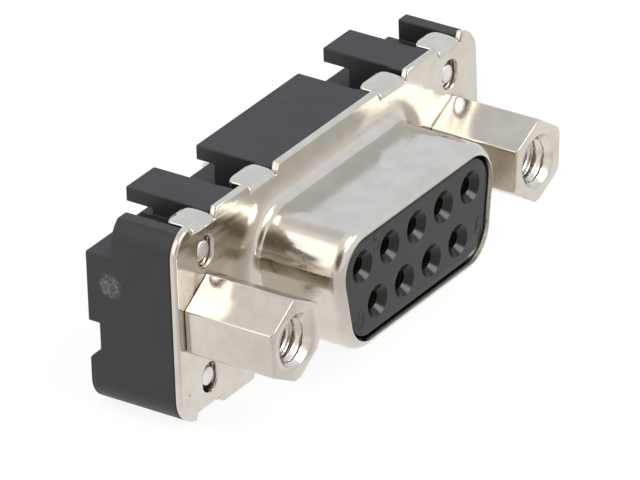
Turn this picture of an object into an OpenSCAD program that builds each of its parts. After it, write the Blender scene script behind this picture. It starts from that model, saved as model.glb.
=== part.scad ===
// Nine-way D-subminiature socket connector with straight board tails and
// hexagonal screw-lock standoffs. Sizes are in millimetres. +X is to the
// right and +Z up, as seen by the mating plug, which comes from -Y. The origin
// is on the mating axis, in the plane of the flange's front.

/* [Flange] */
// Width of the flange and the housing
flange_w = 30.8; // [30.6:0.05:31.2]
// Height of the flange and the housing
flange_h = 12.5; // [12.4:0.05:12.8]
// Radius of the flange's and the housing's long corners
flange_corner_r = 1.75; // [1.2:0.05:2]
// Thickness of the shell's sheet
sheet_t = 0.45; // [0.35:0.01:0.5]
// Distance between the two standoffs
standoff_pitch = 24.99; // [24.8:0.01:25.2]
// Radius of the holes that the standoffs' studs pass through
stud_hole_r = 1.6; // [1.5:0.05:1.8]
// Height of a rivet above or below the standoffs' axes
rivet_z = 4.05; // [3.9:0.01:4.1]
// Width of the oblong hole round a rivet's head
rivet_slot_w = 1.4; // [1.3:0.02:1.5]
// Height of the oblong hole round a rivet's head
rivet_slot_h = 1.8; // [1.6:0.02:1.9]

/* [Shroud] */
// Outer width of the D-shaped shroud
shroud_w = 16.33; // [16.1:0.01:16.6]
// Outer height of the D-shaped shroud
shroud_h = 7.9; // [7.75:0.01:8.05]
// Slope of the shroud's two sides, in degrees
side_slope = 10; // [7:0.5:12]
// Outer radius of the shroud's four corners
shroud_corner_r = 2.6; // [2.5:0.01:2.7]
// How far the shroud stands forward of the flange
shroud_depth = 6.1; // [5.9:0.01:6.4]
// Outer radius of the lip that is rolled in at the shroud's front
lip_r = 0.8; // [0.7:0.01:0.85]
// Angle through which the lip is rolled in, in degrees
lip_angle = 75; // [65:1:85]
// Radius of the bend from the flange to the shroud, on its front
root_r = 1.3; // [1:0.05:1.4]

/* [Tabs] */
// Outer radius of a tab's bend
tab_bend_r = 0.8; // [0.7:0.01:0.95]
// How far a tab reaches behind the flange's front
tab_reach = 1.65; // [1.4:0.05:2]
// Width of an inner tab, next to the centre block
inner_tab_w = 2.5; // [2.2:0.05:2.6]
// Width of an outer tab, next to an end wall
outer_tab_w = 2.05; // [1.8:0.05:2.1]
// Space between a tab and the block on its inner side
tab_gap = 0.2; // [0.15:0.01:0.22]
// Width of the relief notch at each side of a tab
relief_w = 0.18; // [0.12:0.01:0.18]
// Depth of a relief notch
relief_depth = 0.4; // [0.3:0.02:0.5]

/* [Standoffs] */
// Width of a standoff across its flats
hex_af = 4.6; // [4.4:0.05:4.8]
// Length of a standoff's hexagon
hex_length = 6; // [5.8:0.05:6.3]
// Height of the chamfer on a standoff's front corners
hex_chamfer = 0.15; // [0.1:0.01:0.25]
// Turn of the left standoff from a corner that points up, in degrees
left_turn = 1; // [0:1:30]
// Turn of the right standoff from a corner that points up, in degrees
right_turn = -5; // [-30:1:0]
// Radius of the tapped hole at its thread's crests
tapped_r = 1.13; // [1.1:0.01:1.18]
// Depth of the tapped hole in a standoff
tapped_depth = 5; // [4.5:0.1:5.2]
// Radius of the countersink at a tapped hole's mouth
mouth_r = 1.65; // [1.5:0.05:1.75]
// Radius of a standoff's stud
stud_r = 1.4; // [1.3:0.01:1.42]
// Length of a standoff's stud behind the flange's front
stud_length = 3.2; // [3:0.05:3.4]

/* [Housing] */
// Distance from the flange's front to the board
board_y = 6.25; // [6.15:0.05:6.6]
// Height of the beam's top above the mating axis
beam_top = 3.7; // [3.6:0.02:3.9]
// Thickness of an end wall
end_wall_t = 1.6; // [1.5:0.02:1.7]
// How far the end walls reach behind the flange's front
end_wall_y = 4.45; // [4.2:0.05:4.7]
// Distance of the end walls' and the blocks' tops below the flange's edge
top_drop = 0.3; // [0.2:0.02:0.4]
// Height of the shelf between a side block and an end wall
shelf_top = 4.62; // [4.5:0.02:4.7]
// How far that shelf reaches behind the flange's front
shelf_y = 5.2; // [4.9:0.05:5.4]
// Width of the centre block
centre_block_w = 10.4; // [10.2:0.02:10.5]
// How far the centre block reaches behind the flange's front
centre_block_y = 5.65; // [5.4:0.05:5.9]
// Width of a side block
side_block_w = 2.8; // [2.7:0.02:2.9]
// Distance of a side block's middle from the connector's middle
side_block_x = 9.95; // [9.9:0.01:10]
// How far a side block reaches behind the flange's front
side_block_y = 6.2; // [5.9:0.05:6.25]
// Thickness of the plate on top of a block
plate_t = 0.93; // [0.8:0.01:1.05]
// How far the neck below a plate reaches behind the flange's front
neck_y = 4.45; // [4.2:0.05:4.7]
// How far a plate's side stands proud near the flange
shoulder_w = 0.1; // [0.06:0.01:0.12]
// How far that proud stretch reaches behind the flange's front
shoulder_y = 1.6; // [1.4:0.05:1.9]
// Depth of the notches in the bottom edge for the lower tabs
tab_pocket_depth = 1; // [0.9:0.05:1.3]

/* [Board side] */
// Upper edge of the notch in each end, below the mating axis
notch_top = 0.76; // [0.7:0.02:0.85]
// Height of the notch in each end
notch_h = 1.98; // [1.8:0.02:2.1]
// Depth of the notch in each end
notch_depth = 0.77; // [0.6:0.01:0.9]
// Length of the notch from the end inward
notch_length = 1; // [0.8:0.02:1]
// Chamfer on the foot below that notch
foot_chamfer = 0.4; // [0.3:0.02:0.5]
// Width of the shallow well round the tails
well_w = 16.4; // [16:0.1:17]
// Height of the shallow well round the tails
well_h = 5.8; // [5.4:0.1:6.2]
// Depth of the shallow well round the tails
well_depth = 0.6; // [0.4:0.05:0.8]

/* [Contacts] */
// Distance between neighbouring contacts of a row
contact_pitch = 2.77; // [2.74:0.01:2.79]
// Distance between the two rows
row_pitch = 2.84; // [2.8:0.01:2.88]
// Radius of a contact's bore
pin_bore_r = 0.53; // [0.52:0.005:0.55]
// Depth of a contact's bore
pin_bore_depth = 5.2; // [4.8:0.1:5.4]
// Radius of a contact's barrel
barrel_r = 0.85; // [0.8:0.01:0.88]
// Width of the slot that splits a barrel's front
slot_w = 0.22; // [0.16:0.01:0.26]
// Length of that slot
slot_length = 3.2; // [2.8:0.1:3.6]
// Radius of a contact's collar
collar_r = 1.1; // [1.05:0.01:1.15]
// Thickness of a contact's collar
collar_t = 0.5; // [0.4:0.05:0.6]
// Radius of a contact's shank, which fills its hole in the housing
shank_r = 0.46; // [0.46:0.01:0.52]
// Radius of a contact's tail
tail_r = 0.3; // [0.25:0.01:0.3]
// How far the tails reach behind the flange's front
tail_end = 8.9; // [8.6:0.05:9.4]
// Length of a tail's tapered tip
tail_tip = 0.7; // [0.5:0.05:0.9]

/* [Insulator] */
// How far the insulator's face lies behind the shroud's rim
face_recess = 0.24; // [0.18:0.01:0.35]
// Thickness of the insulator's front wall
face_t = 0.5; // [0.4:0.02:0.6]
// Radius of a pin entry's chamfered mouth
entry_mouth_r = 0.95; // [0.85:0.01:1.05]
// Radius of a pin entry
entry_r = 0.7; // [0.69:0.01:0.74]
// Depth of a pin entry's chamfer
entry_chamfer = 0.32; // [0.25:0.01:0.35]
// How far the insulator's rear spigot reaches behind the flange's front
spigot_y = 2; // [1.8:0.05:2.2]
// How far the spigot's outline lies inside the shroud's inner wall
spigot_step = 0.7; // [0.6:0.05:0.75]

/* [Fixings] */
// Radius of a rivet's head
rivet_head_r = 0.58; // [0.54:0.01:0.62]
// How far a rivet's head lies behind the flange's front
rivet_recess = 0.14; // [0.1:0.01:0.2]
// Radius of a rivet's shank
rivet_shank_r = 0.35; // [0.3:0.01:0.4]
// How far a rivet reaches behind the flange's front
rivet_end = 3.4; // [3:0.1:3.8]
// Thickness of a ground plate
plate_sheet_t = 0.5; // [0.4:0.02:0.6]
// Width of a ground plate
ground_plate_w = 3.9; // [3.7:0.05:4]
// Radius of a threaded insert
insert_r = 1.9; // [1.8:0.02:1.94]

/* [Clearances] */
// Clearance round a part that is set into another
seat_gap = 0.05; // [0.03:0.01:0.06]
// Clearance between the insulator's nose and the rolled lip
lip_gap = 0.08; // [0.05:0.01:0.1]
// How far a cut runs past the faces that it opens
overcut = 0.5; // [0.2:0.1:1]

/* [Hidden] */
top_count = 5;
bottom_count = 4;
contact_count = top_count + bottom_count;
rivet_count = 4;
$fn = 64;
// Straight steps in each round of the D, and in each bend of its section
round_steps = 9;
bend_steps = 6;

standoff_x = standoff_pitch / 2;
half_h = flange_h / 2;
block_top = half_h - top_drop;

// The D outline keeps four corner centres, and every D shape is the outline
// at one distance from them. The shroud laps over the flange by root_overlap.
root_overlap = 0.2;
corner_top = shroud_h / 2 - shroud_corner_r;
corner_x_top = shroud_w / 2 - shroud_corner_r;
corner_x_bottom = corner_x_top - 2 * corner_top * tan(side_slope);
inner_r = shroud_corner_r - sheet_t;
lip_bore_r = shroud_corner_r - lip_r + (lip_r - sheet_t) * cos(lip_angle);
nose_r = lip_bore_r - lip_gap;
body_r = inner_r - seat_gap;
spigot_r = inner_r - spigot_step;
lip_back = lip_r + seat_gap;

inner_tab_x = centre_block_w / 2 + tab_gap + inner_tab_w / 2;
outer_tab_x = side_block_x + side_block_w / 2 + tab_gap + outer_tab_w / 2;
tabs = [[inner_tab_x, inner_tab_w], [outer_tab_x, outer_tab_w]];
bend_z = half_h - tab_bend_r;

face_y = face_recess - shroud_depth;
cavity_y = face_y + face_t;
contact_y = cavity_y + seat_gap;
collar_y = spigot_y - collar_t;
ground_y = sheet_t + plate_sheet_t;
well_y = board_y - well_depth;

// A contact's place in its row: the upper row first, from the left.
function contact_x(i) = i <= top_count
    ? (i - (top_count + 1) / 2) * contact_pitch
    : (i - top_count - (bottom_count + 1) / 2) * contact_pitch;
function contact_z(i) = (i <= top_count ? 1 : -1) * row_pitch / 2;

// Extrudes a flat X-Z shape from y0 back to y1.
module along_y(y0, y1) {
    translate([0, y1, 0]) rotate([90, 0, 0]) linear_extrude(y1 - y0) children();
}

// Extrudes a flat Y-Z shape across a width centred on x.
module along_x(x, w) {
    translate([x - w / 2, 0, 0]) rotate([90, 0, 90]) linear_extrude(w) children();
}

// A cylinder along Y from y0 back to y1.
module rod(r, y0, y1) {
    along_y(y0, y1) circle(r);
}

// A cone along Y, of radius r0 at y0 and r1 at y1.
module taper(r0, y0, r1, y1) {
    translate([0, y1, 0]) rotate([90, 0, 0]) cylinder(h = y1 - y0, r1 = r1, r2 = r0);
}

// The cut of a countersink that narrows from r0 at y to r1 over a depth.
module countersink(r0, r1, y, depth) {
    widening = overcut * (r0 - r1) / depth;
    taper(r0 + widening, y - overcut, r1, y + depth);
}

// A block between two corners.
module block(x0, x1, y0, y1, z0, z1) {
    translate([x0, y0, z0]) cube([x1 - x0, y1 - y0, z1 - z0]);
}

module both_sides() {
    children();
    mirror([1, 0, 0]) children();
}

module at_contact(i) {
    translate([contact_x(i), 0, contact_z(i)]) children();
}

// The flange's and the housing's outline.
module long_outline() {
    x = flange_w / 2 - flange_corner_r;
    z = half_h - flange_corner_r;
    square([2 * x, flange_h], center = true);
    square([flange_w, 2 * z], center = true);
    for (sx = [-1, 1], sz = [-1, 1]) translate([sx * x, sz * z]) circle(flange_corner_r);
}

// The corners of the D, anticlockwise from the upper right. Each is the
// centre of its round, and the directions in which that round starts and ends.
d_corners = [
    [[corner_x_top, corner_top], -side_slope, 90],
    [[-corner_x_top, corner_top], 90, 180 + side_slope],
    [[-corner_x_bottom, -corner_top], 180 + side_slope, 270],
    [[corner_x_bottom, -corner_top], 270, 360 - side_slope]
];

// The D's outline at distance r from the corner centres.
function d_points(r) = [for (corner = d_corners, step = [0:round_steps])
    let (turn = corner[1] + (corner[2] - corner[1]) * step / round_steps)
        corner[0] + r * [cos(turn), sin(turn)]];

// A filled D at distance r from the corner centres.
module d_plate(r) {
    polygon(d_points(r));
}

// Points on an arc: the first number of each is the distance from the corner
// centres, the second the distance forward of the flange's front.
function arc(centre, r, from, to) = [for (step = [0:bend_steps])
    let (turn = from + (to - from) * step / bend_steps) centre + r * [cos(turn), sin(turn)]];

// The section of the drawn shroud: out over the bend from the flange, up the
// wall and over the rolled lip, then back along the inner side of the sheet.
root_centre = [shroud_corner_r + root_r, root_r];
lip_centre = [shroud_corner_r - lip_r, shroud_depth - lip_r];
shroud_section = concat(
    [root_centre + [root_overlap, -root_r]],
    arc(root_centre, root_r, 270, 180),
    arc(lip_centre, lip_r, 0, lip_angle),
    arc(lip_centre, lip_r - sheet_t, lip_angle, 0),
    arc(root_centre, root_r + sheet_t, 180, 270),
    [root_centre + [root_overlap, -root_r - sheet_t]]
);

// The shroud: its section carried round the D.
module shroud() {
    rings = [for (point = shroud_section)
        [for (place = d_points(point[0])) [place[0], -point[1], place[1]]]];
    count = len(rings);
    around = len(rings[0]);
    polyhedron(
        points = [for (ring = rings) each ring],
        faces = [for (j = [0:count - 1], i = [0:around - 1])
            let (next_j = (j + 1) % count, next_i = (i + 1) % around)
                [j * around + i, next_j * around + i,
                 next_j * around + next_i, j * around + next_i]]
    );
}

// A tab's section: x is the distance behind the flange's front, y the height.
module tab_section() {
    translate([tab_bend_r, bend_z]) intersection() {
        difference() {
            circle(tab_bend_r);
            circle(tab_bend_r - sheet_t);
        }
        translate([-2 * tab_bend_r, 0]) square(2 * tab_bend_r);
    }
    translate([tab_bend_r, half_h - sheet_t]) square([tab_reach - tab_bend_r, sheet_t]);
}

module rivet_slot() {
    end_z = (rivet_slot_h - rivet_slot_w) / 2;
    square([rivet_slot_w, 2 * end_z], center = true);
    for (side = [-1, 1]) translate([0, side * end_z]) circle(rivet_slot_w / 2);
}

// Where the flange is cut away for one upper tab on the right.
module tab_cut(x, w) {
    translate([x - w / 2, bend_z]) square([w, flange_h]);
    translate([x - w / 2 - relief_w, half_h - relief_depth])
        square([w + 2 * relief_w, flange_h]);
}

module flange_sheet() {
    along_y(0, sheet_t) difference() {
        long_outline();
        d_plate(shroud_corner_r + root_r);
        for (side = [-1, 1]) {
            translate([side * standoff_x, 0]) circle(stud_hole_r);
            for (level = [-1, 1])
                translate([side * standoff_x, level * rivet_z]) rivet_slot();
        }
        for (tab = tabs, side = [0, 1], level = [0, 1])
            mirror([side, 0]) mirror([0, level]) tab_cut(tab[0], tab[1]);
    }
}

module front_shell() {
    color("silver") {
        flange_sheet();
        shroud();
        for (tab = tabs, level = [0, 1]) both_sides() mirror([0, 0, level])
            along_x(tab[0], tab[1]) tab_section();
    }
}

module front_insulator() {
    color("dimgray") difference() {
        union() {
            along_y(face_y, lip_back - shroud_depth) d_plate(nose_r);
            along_y(lip_back - shroud_depth, sheet_t) d_plate(body_r);
            along_y(sheet_t, spigot_y) d_plate(spigot_r);
        }
        for (i = [1:contact_count]) at_contact(i) {
            countersink(entry_mouth_r, entry_r, face_y, entry_chamfer);
            rod(entry_r, face_y - overcut, spigot_y);
            rod(barrel_r + seat_gap, cavity_y, spigot_y + overcut);
            rod(collar_r + seat_gap, collar_y - seat_gap, spigot_y + overcut);
        }
    }
}

// The neck and the plate of one block that stands on the beam.
module t_block(x, w, plate_y) {
    plate_z = block_top - plate_t;
    block(x - w / 2, x + w / 2, sheet_t, neck_y, beam_top, plate_z);
    block(x - w / 2, x + w / 2, sheet_t + seat_gap, plate_y, plate_z, block_top);
    block(x - w / 2 - shoulder_w, x + w / 2 + shoulder_w, sheet_t + seat_gap, shoulder_y,
          plate_z, block_top);
}

module housing_body() {
    wall_x = flange_w / 2 - end_wall_t;
    shelf_x = side_block_x + side_block_w / 2;
    intersection() {
        along_y(sheet_t, board_y) long_outline();
        union() {
            block(-flange_w / 2, flange_w / 2, sheet_t, board_y, -half_h, beam_top);
            both_sides() {
                block(wall_x, flange_w / 2, sheet_t, end_wall_y, beam_top, block_top);
                block(shelf_x, wall_x, sheet_t, shelf_y, beam_top, shelf_top);
                t_block(side_block_x, side_block_w, side_block_y);
            }
            t_block(0, centre_block_w, centre_block_y);
        }
    }
}

// The rear openings of the housing that face the board.
module board_side_cuts() {
    front_y = sheet_t - overcut;
    back_y = board_y + overcut;
    block(-well_w / 2, well_w / 2, well_y, back_y, -well_h / 2, well_h / 2);
    both_sides() {
        notch_x = flange_w / 2 - notch_length;
        foot_z = -notch_top - notch_h;
        block(notch_x, flange_w, board_y - notch_depth, back_y, foot_z, -notch_top);
        along_x(flange_w / 2, 2 * notch_length)
            polygon([[board_y - foot_chamfer, foot_z], [back_y, foot_z - foot_chamfer - overcut],
                     [back_y, foot_z]]);
        translate([standoff_x, 0, 0]) rod(insert_r + seat_gap, front_y, back_y);
    }
}

// The front openings of the housing, which the shell's flange covers.
module flange_side_cuts() {
    front_y = sheet_t - overcut;
    pocket_y = tab_reach + seat_gap;
    along_y(front_y, spigot_y + seat_gap) d_plate(spigot_r + seat_gap);
    both_sides() {
        for (tab = tabs)
            block(tab[0] - tab[1] / 2 - tab_gap, tab[0] + tab[1] / 2 + tab_gap,
                  front_y, pocket_y, -half_h - overcut, tab_pocket_depth - half_h);
        block(standoff_x - ground_plate_w / 2 - seat_gap,
              standoff_x + ground_plate_w / 2 + seat_gap,
              front_y, ground_y, -shelf_top, shelf_top);
        for (level = [-1, 1]) translate([standoff_x, 0, level * rivet_z])
            rod(rivet_shank_r, front_y, rivet_end);
    }
}

module rear_housing() {
    color("#2b2b2d") difference() {
        housing_body();
        board_side_cuts();
        flange_side_cuts();
        for (i = [1:contact_count]) at_contact(i)
            rod(shank_r + seat_gap, spigot_y, board_y);
    }
}

module contact(i) {
    color("goldenrod") at_contact(i) difference() {
        union() {
            rod(barrel_r, contact_y, spigot_y);
            rod(collar_r, collar_y, spigot_y);
            rod(shank_r, spigot_y, well_y);
            rod(tail_r, well_y, tail_end - tail_tip);
            taper(tail_r, tail_end - tail_tip, tail_r / 2, tail_end);
        }
        rod(pin_bore_r, contact_y - overcut, contact_y + pin_bore_depth);
        block(-slot_w / 2, slot_w / 2, contact_y - overcut, contact_y + slot_length,
              -collar_r, collar_r);
    }
}

module standoff(side, turn) {
    front_y = -hex_length;
    corner_r = hex_af / sqrt(3);
    color("gainsboro") translate([side * standoff_x, 0, 0]) difference() {
        union() {
            intersection() {
                rotate([90, 0, 0]) rotate(90 + turn)
                    cylinder(h = hex_length, r = corner_r, $fn = 6);
                union() {
                    taper(corner_r - hex_chamfer, front_y, corner_r, front_y + hex_chamfer);
                    rod(corner_r, front_y + hex_chamfer, 0);
                }
            }
            rod(stud_r, 0, stud_length);
        }
        rod(tapped_r, front_y - overcut, front_y + tapped_depth);
        countersink(mouth_r, tapped_r, front_y, mouth_r - tapped_r);
    }
}

module insert(side) {
    stud_end = stud_length + seat_gap;
    color("darkkhaki") translate([side * standoff_x, 0, 0]) difference() {
        rod(insert_r, ground_y, board_y);
        rod(stud_r + seat_gap, ground_y - overcut, stud_end);
        rod(tapped_r, ground_y, board_y + overcut);
    }
}

module ground_plate(side) {
    color("lightgray") translate([side * standoff_x, 0, 0]) difference() {
        block(-ground_plate_w / 2, ground_plate_w / 2, sheet_t, ground_y,
              -shelf_top, shelf_top);
        rod(stud_hole_r, sheet_t - overcut, ground_y + overcut);
        for (level = [-1, 1]) translate([0, 0, level * rivet_z])
            rod(rivet_shank_r, sheet_t - overcut, ground_y + overcut);
    }
}

// The rivets, from the upper left in reading order.
module rivet(i) {
    side = i % 2 == 1 ? -1 : 1;
    level = i <= rivet_count / 2 ? 1 : -1;
    color("whitesmoke") translate([side * standoff_x, 0, level * rivet_z]) {
        rod(rivet_head_r, rivet_recess, sheet_t);
        rod(rivet_shank_r, sheet_t, rivet_end);
    }
}

front_shell();
front_insulator();
rear_housing();
for (i = [1:contact_count]) contact(i);
standoff(-1, left_turn);  // standoff_left
standoff(1, right_turn);  // standoff_right
insert(-1);  // insert_left
insert(1);  // insert_right
ground_plate(-1);  // ground_plate_left
ground_plate(1);  // ground_plate_right
for (i = [1:rivet_count]) rivet(i);
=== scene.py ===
"""A nine-way D-subminiature socket for a circuit board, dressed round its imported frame.

X runs to the right of the mating face, -Y is the way the plug comes from, +Y
leads to the board, and Z is up. The frame gives the nodes' places. Lengths are
in metres, as Blender has them.
"""

import math

import bmesh
import bpy
from bpy.props import FloatProperty, FloatVectorProperty, PointerProperty
from bpy.types import Operator, Panel, PropertyGroup
from mathutils import Matrix, Vector
from mathutils.geometry import tessellate_polygon


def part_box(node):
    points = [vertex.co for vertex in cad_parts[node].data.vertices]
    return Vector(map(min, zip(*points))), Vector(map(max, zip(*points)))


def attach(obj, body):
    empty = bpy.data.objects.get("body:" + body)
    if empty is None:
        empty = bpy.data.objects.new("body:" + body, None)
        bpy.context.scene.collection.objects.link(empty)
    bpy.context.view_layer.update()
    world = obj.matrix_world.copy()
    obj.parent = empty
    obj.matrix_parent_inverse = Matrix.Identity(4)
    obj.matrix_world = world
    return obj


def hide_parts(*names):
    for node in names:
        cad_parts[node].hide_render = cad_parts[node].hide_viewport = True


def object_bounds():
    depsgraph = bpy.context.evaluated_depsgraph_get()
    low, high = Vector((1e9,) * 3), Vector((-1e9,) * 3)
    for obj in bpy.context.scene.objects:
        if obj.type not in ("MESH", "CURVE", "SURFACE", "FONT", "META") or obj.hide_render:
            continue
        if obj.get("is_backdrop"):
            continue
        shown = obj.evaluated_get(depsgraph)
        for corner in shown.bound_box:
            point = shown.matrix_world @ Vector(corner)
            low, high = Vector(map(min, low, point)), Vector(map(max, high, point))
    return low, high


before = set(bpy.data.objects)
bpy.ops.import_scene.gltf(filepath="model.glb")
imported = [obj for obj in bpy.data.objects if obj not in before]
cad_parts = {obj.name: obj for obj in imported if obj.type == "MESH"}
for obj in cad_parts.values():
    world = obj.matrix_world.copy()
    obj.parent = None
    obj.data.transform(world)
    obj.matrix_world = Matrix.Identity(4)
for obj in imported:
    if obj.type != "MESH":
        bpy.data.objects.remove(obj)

bl_info = {
    "name": "D-Sub Connector",
    "version": (1, 0, 0),
    "blender": (4, 5, 0),
    "location": "3D View > Sidebar > Connector",
    "description": "Builds the looks of a nine-way D-sub socket round its solids",
    "category": "Object",
}

MM = 0.001
CONTACTS = range(1, 10)
RIVETS = range(1, 5)
TAB_CHANGE = 84  # degrees round a tab's bend where its flatter crown begins
LAMP_DISTANCE = 0.8  # metres from the part's origin
FLOOR_HALF = 1.5  # metres
SIDES = ("left", "right")


# ------------------------------------------------------------------ settings


def length(name, description, millimetres):
    return FloatProperty(
        name=name,
        description=description,
        default=millimetres * MM,
        min=0,
        precision=6,
        unit="LENGTH",
    )


def angle(name, description, degrees):
    return FloatProperty(
        name=name, description=description, default=math.radians(degrees), subtype="ANGLE"
    )


def number(name, description, value, least=0):
    return FloatProperty(name=name, description=description, default=value, min=least)


def colour(name, description, value):
    return FloatVectorProperty(
        name=name,
        description=description,
        default=value,
        min=0,
        max=1,
        size=3,
        subtype="COLOR",
    )


class SheetSizes(PropertyGroup):
    """The drawn front of sheet metal."""

    flange_width: length("Flange width", "Across the flange, ear to ear", 30.8)
    flange_height: length("Flange height", "The flange from bottom to top", 12.5)
    flange_corner: length("Flange corner", "Radius of the flange's corners", 1.75)
    sheet: length("Sheet", "Thickness of the sheet metal", 0.45)
    edge_roll: length("Edge roll", "Rounding that stamping leaves on the front edges", 0.15)
    burr_side: length("Burr side", "Rounding of the edges at the back of the sheet", 0.1)
    shroud_width: length("Shroud width", "Outside of the D, at its wide side", 16.33)
    shroud_height: length("Shroud height", "Outside of the D, bottom to top", 7.9)
    shroud_corner: length("Shroud corner", "Radius of the D's corners", 2.6)
    shroud_depth: length("Shroud depth", "How far the D stands off the flange", 6.1)
    side_slope: angle("Side slope", "How far the sides of the D lean in", 10)
    lip_radius: length("Lip radius", "Roll of the front lip", 0.8)
    lip_turn: angle("Lip turn", "How far round the front lip is rolled", 75)
    root_radius: length("Root radius", "Tight bend at the foot of the shroud", 0.6)
    root_sweep: length("Root sweep", "Radius of the slow rise outside that bend", 2.8)
    root_rise: angle("Root rise", "Slope where the slow rise meets the tight bend", 24)
    tab_start: length("Tab start", "From the flange's edge in to a tab's bend", 0.72)
    tab_bend: length("Tab bend", "Outer radius where a tab leaves the flange", 0.46)
    tab_crown: length("Tab crown", "Outer radius of the rest of a tab", 6.0)
    tab_reach: length("Tab reach", "How far back the inner tabs reach", 1.65)
    outer_reach: length("Outer tab reach", "How far back the outer tabs reach", 1.9)
    tab_corner: length("Tab corner", "Radius of a tab's rear corners", 0.4)
    tab_relief: length("Tab relief", "Width of the notch beside each tab, at its mouth", 0.34)
    relief_foot: length("Relief foot", "Width of that notch at its foot", 0.1)
    relief_depth: length("Relief depth", "Depth of that notch", 0.55)
    stud_hole: length("Stud hole", "Radius of the hole behind each standoff", 1.6)
    rivet_slot_width: length("Rivet slot width", "Across a rivet's slot", 1.4)
    rivet_slot_height: length("Rivet slot height", "Along a rivet's slot", 1.8)


class HardwareSizes(PropertyGroup):
    """Standoffs, inserts and rivets."""

    across_flats: length("Across flats", "The hexagon of a standoff", 4.6)
    hexagon_length: length("Hexagon length", "From the flange to a standoff's front", 6)
    hexagon_chamfer: length("Hexagon chamfer", "Turned chamfer at a standoff's front", 0.15)
    hexagon_edge: length("Hexagon edge", "Rounding of a standoff's long edges", 0.13)
    stud_radius: length("Stud radius", "The stud behind a standoff", 1.4)
    stud_length: length("Stud length", "How far the stud reaches back", 3.2)
    mouth: length("Mouth", "Radius of the countersink at a tapped hole", 1.65)
    thread_minor: length("Thread minor", "Radius over the crests of the inner thread", 1.13)
    thread_major: length("Thread major", "Radius at the roots of the inner thread", 1.4)
    thread_pitch: length("Thread pitch", "From one turn of the thread to the next", 0.635)
    tapped_depth: length("Tapped depth", "Depth of a standoff's tapped hole", 5)
    left_turn: angle("Left turn", "How the left standoff came to rest", 1)
    right_turn: angle("Right turn", "How the right standoff came to rest", -5)
    insert_radius: length("Insert radius", "Outside of a threaded insert", 1.9)
    rivet_head: length("Rivet head", "Radius of a rivet's head", 0.58)
    rivet_shank: length("Rivet shank", "Radius of a rivet's shank", 0.35)


class MouldingSizes(PropertyGroup):
    """The two plastic mouldings."""

    nose: length("Nose", "Corner distance of the insulator's face", 1.76)
    body: length("Body", "Corner distance of the insulator's body", 2.1)
    spigot: length("Spigot", "Corner distance of the insulator's rear spigot", 1.45)
    nose_edge: length("Nose edge", "Rounding round the insulator's face", 0.08)
    entry: length("Entry", "Radius of a pin entry", 0.6)
    entry_mouth: length("Entry mouth", "Radius of a pin entry at the face", 1.0)
    entry_chamfer: length("Entry chamfer", "Depth of a pin entry's lead-in", 0.44)
    cavity: length("Cavity", "Radius of a contact's cavity", 0.9)
    housing_edge: length("Housing edge", "Rounding of the housing's edges", 0.07)


class Finishes(PropertyGroup):
    """Colours of the metals and plastics."""

    shell_nickel: colour("Sheet nickel", "Nickel plate on the front sheet", (0.66, 0.615, 0.55))
    stud_nickel: colour("Standoff nickel", "Nickel plate on the standoffs", (0.66, 0.615, 0.55))
    rivet_steel: colour("Rivet steel", "Bright rivets", (0.84, 0.83, 0.81))
    brass: colour("Insert brass", "Bare brass of the threaded inserts", (0.66, 0.52, 0.30))
    contact_gold: colour("Contact gold", "Gold flash where the pin goes in", (0.5, 0.4, 0.17))
    contact_tin: colour("Contact tin", "Tin plate on the contacts", (0.68, 0.66, 0.62))
    insulator: colour("Insulator", "Glass-filled plastic of the front", (0.0068, 0.0065, 0.007))
    housing: colour("Housing", "Plastic of the rear housing", (0.019, 0.019, 0.021))


class StageSettings(PropertyGroup):
    """Floor, light and camera."""

    floor: colour("Floor", "The floor's colour", (0.9, 0.9, 0.9))
    ambient: number("Ambient", "Light from all round", 0.85)
    high_lamp: number("High lamp", "Watts of the upper soft box", 0.6)
    low_lamp: number("Low lamp", "Watts of the lower soft box", 1.9)
    azimuth: angle("Azimuth", "Where the camera stands round the part", -54.996)
    elevation: angle("Elevation", "How far the camera looks down", 28.321)
    roll: angle("Roll", "How far the camera is tipped", -2.038)
    distance: length("Distance", "From the camera to the part's origin", 510.68)
    lens: number("Lens", "Focal length in mm", 501.02, 1)


# ------------------------------------------------------------------ meshes


class Form:
    """The points and faces of one piece while it is being built."""

    def __init__(self):
        self.points = []
        self.faces = []

    def ring(self, points):
        """Adds points and returns their numbers."""
        start = len(self.points)
        self.points.extend(Vector(p) for p in points)
        return list(range(start, len(self.points)))

    def bridge(self, first, second, leave_open=()):
        """Joins two closed rings of as many points, but for the steps left open."""
        count = len(first)
        for i in range(count):
            if i not in leave_open:
                j = (i + 1) % count
                self.faces.append((first[i], first[j], second[j], second[i]))

    def sweep(self, rings):
        """Joins each ring to the next."""
        for first, second in zip(rings, rings[1:]):
            self.bridge(first, second)

    def cap(self, ring):
        """Closes one ring."""
        self.faces.append(tuple(ring))

    def fill(self, loops):
        """Fills a flat outline, and leaves the loops inside it as holes."""
        flat = [[Vector((self.points[n].x, self.points[n].z, 0)) for n in loop] for loop in loops]
        numbers = [n for loop in loops for n in loop]
        for triangle in tessellate_polygon(flat):
            self.faces.append(tuple(numbers[n] for n in triangle))

    def add(self, other, move=None):
        """Adds another form, moved by a matrix."""
        start = len(self.points)
        self.points.extend(move @ p if move else p for p in other.points)
        self.faces.extend(tuple(start + n for n in face) for face in other.faces)


def settings():
    return bpy.context.scene.connector


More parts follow.
